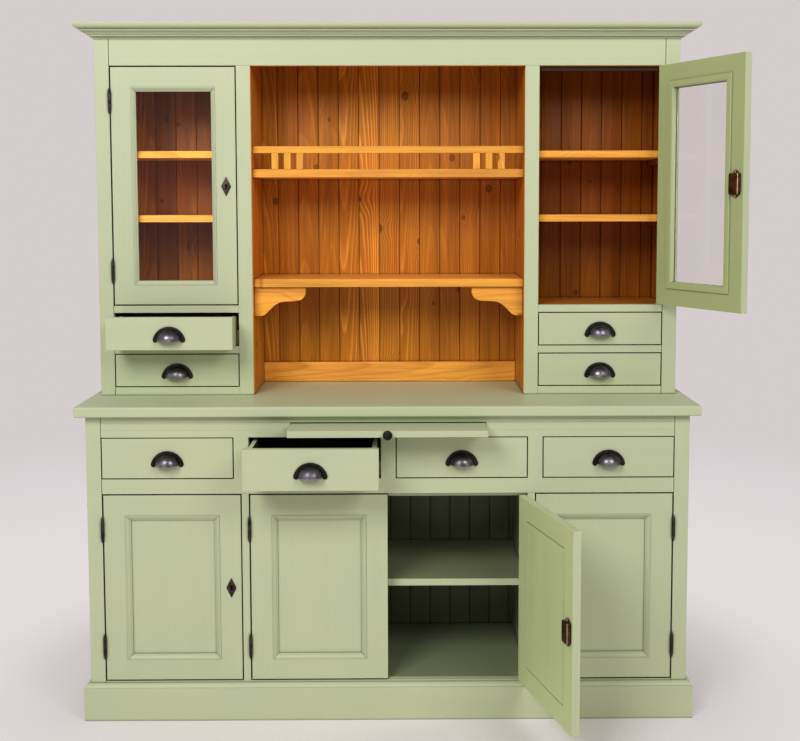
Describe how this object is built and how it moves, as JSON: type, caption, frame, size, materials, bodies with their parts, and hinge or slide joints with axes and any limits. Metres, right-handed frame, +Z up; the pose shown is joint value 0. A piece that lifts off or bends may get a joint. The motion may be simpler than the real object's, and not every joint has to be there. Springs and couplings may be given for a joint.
{
  "type": "welsh dresser",
  "caption": "Sage-green welsh dresser with a stained-pine hutch, glazed cupboards, plate shelves, drawers with iron cup pulls, a pull-out writing slide and panelled doors.",
  "frame": {"origin": "on the floor under the middle of the base, at the middle of the centre plinth bearer's underside", "axes": "+Z up the dresser; the front with the doors faces -Y; +X to the right as one faces the front"},
  "size_m": [2.0193, 0.9331, 2.153],
  "materials": {
    "sage_paint": "satin sage-green paint on pine, brushed",
    "amber_pine": "amber-stained waxed pine",
    "black_iron": "blackened iron, satin",
    "clear_glass": "clear flat sheet glass"
  },
  "bodies": {
    "carcass": {"base_back": "sage_paint", "base_drawer_guides": "amber_pine", "base_dust_board": "amber_pine", "base_face_frame": "sage_paint", "base_floor": "sage_paint", "base_hinge_leaves": "black_iron", "base_partitions": "sage_paint", "base_shelves": "sage_paint", "base_sides": "sage_paint", "bay_back_rail": "amber_pine", "bay_shelves": "amber_pine", "bay_walls": "amber_pine", "cornice": "sage_paint", "cupboard_floors": "amber_pine", "cupboard_shelves": "amber_pine", "door_stops": "sage_paint", "hutch_back": "amber_pine", "hutch_drawer_boards": "amber_pine", "hutch_face_frame": "sage_paint", "hutch_hinge_leaves": "black_iron", "hutch_sides": "sage_paint", "hutch_top": "amber_pine", "plate_gallery": "amber_pine", "plinth": "sage_paint", "plinth_bearers": "amber_pine", "shelf_brackets": "amber_pine", "slide_runners": "amber_pine", "worktop": "sage_paint"},
    "base_drawer_1": {"base_drawer_1": "sage_paint", "base_drawer_1_handle": "black_iron"},
    "base_drawer_2": {"base_drawer_2": "sage_paint", "base_drawer_2_handle": "black_iron"},
    "base_drawer_3": {"base_drawer_3": "sage_paint", "base_drawer_3_handle": "black_iron"},
    "base_drawer_4": {"base_drawer_4": "sage_paint", "base_drawer_4_handle": "black_iron"},
    "hutch_drawer_left_upper": {"hutch_drawer_left_upper": "sage_paint", "hutch_drawer_left_upper_handle": "black_iron"},
    "hutch_drawer_left_lower": {"hutch_drawer_left_lower": "sage_paint", "hutch_drawer_left_lower_handle": "black_iron"},
    "hutch_drawer_right_upper": {"hutch_drawer_right_upper": "sage_paint", "hutch_drawer_right_upper_handle": "black_iron"},
    "hutch_drawer_right_lower": {"hutch_drawer_right_lower": "sage_paint", "hutch_drawer_right_lower_handle": "black_iron"},
    "writing_slide": {"writing_slide": "sage_paint", "slide_knob": "black_iron"},
    "base_door_1": {"base_door_1": "sage_paint", "base_door_1_ironwork": "black_iron"},
    "base_door_2": {"base_door_2": "sage_paint", "base_door_2_ironwork": "black_iron"},
    "base_door_3": {"base_door_3": "sage_paint", "base_door_3_ironwork": "black_iron"},
    "base_door_4": {"base_door_4": "sage_paint", "base_door_4_ironwork": "black_iron"},
    "glazed_door_left": {"glazed_door_left": "sage_paint", "glazed_door_left_glass": "clear_glass", "glazed_door_left_ironwork": "black_iron"},
    "glazed_door_right": {"glazed_door_right": "sage_paint", "glazed_door_right_glass": "clear_glass", "glazed_door_right_ironwork": "black_iron"}
  },
  "joints": [
    {"name": "base_drawer_1_slide", "type": "slide", "parent": "carcass", "child": "base_drawer_1", "axis": [0, -1, 0], "range_m": [0, 0.3]},
    {"name": "base_drawer_2_slide", "type": "slide", "parent": "carcass", "child": "base_drawer_2", "axis": [0, -1, 0], "range_m": [-0.17, 0.13]},
    {"name": "base_drawer_3_slide", "type": "slide", "parent": "carcass", "child": "base_drawer_3", "axis": [0, -1, 0], "range_m": [0, 0.3]},
    {"name": "base_drawer_4_slide", "type": "slide", "parent": "carcass", "child": "base_drawer_4", "axis": [0, -1, 0], "range_m": [0, 0.3]},
    {"name": "hutch_drawer_left_upper_slide", "type": "slide", "parent": "carcass", "child": "hutch_drawer_left_upper", "axis": [0, -1, 0], "range_m": [-0.125, 0.055]},
    {"name": "hutch_drawer_left_lower_slide", "type": "slide", "parent": "carcass", "child": "hutch_drawer_left_lower", "axis": [0, -1, 0], "range_m": [0, 0.18]},
    {"name": "hutch_drawer_right_upper_slide", "type": "slide", "parent": "carcass", "child": "hutch_drawer_right_upper", "axis": [0, -1, 0], "range_m": [0, 0.18]},
    {"name": "hutch_drawer_right_lower_slide", "type": "slide", "parent": "carcass", "child": "hutch_drawer_right_lower", "axis": [0, -1, 0], "range_m": [0, 0.18]},
    {"name": "writing_slide_slide", "type": "slide", "parent": "carcass", "child": "writing_slide", "axis": [0, -1, 0], "range_m": [-0.127, 0.173]},
    {"name": "base_door_1_swing", "type": "hinge", "parent": "carcass", "child": "base_door_1", "pos_m": [-0.8748, -0.2603, 0.4135], "axis": [0, 0, -1], "range_deg": [0, 170]},
    {"name": "base_door_2_swing", "type": "hinge", "parent": "carcass", "child": "base_door_2", "pos_m": [-0.4258, -0.2603, 0.4135], "axis": [0, 0, -1], "range_deg": [0, 170]},
    {"name": "base_door_3_swing", "type": "hinge", "parent": "carcass", "child": "base_door_3", "pos_m": [0.4258, -0.2603, 0.4135], "axis": [0, 0, 1], "range_deg": [-105, 65]},
    {"name": "base_door_4_swing", "type": "hinge", "parent": "carcass", "child": "base_door_4", "pos_m": [0.8748, -0.2603, 0.4135], "axis": [0, 0, 1], "range_deg": [0, 170]},
    {"name": "glazed_door_left_swing", "type": "hinge", "parent": "carcass", "child": "glazed_door_left", "pos_m": [-0.8748, -0.0603, 1.646], "axis": [0, 0, -1], "range_deg": [0, 170]},
    {"name": "glazed_door_right_swing", "type": "hinge", "parent": "carcass", "child": "glazed_door_right", "pos_m": [0.8748, -0.0603, 1.646], "axis": [0, 0, 1], "range_deg": [-116, 54]}
  ]
}
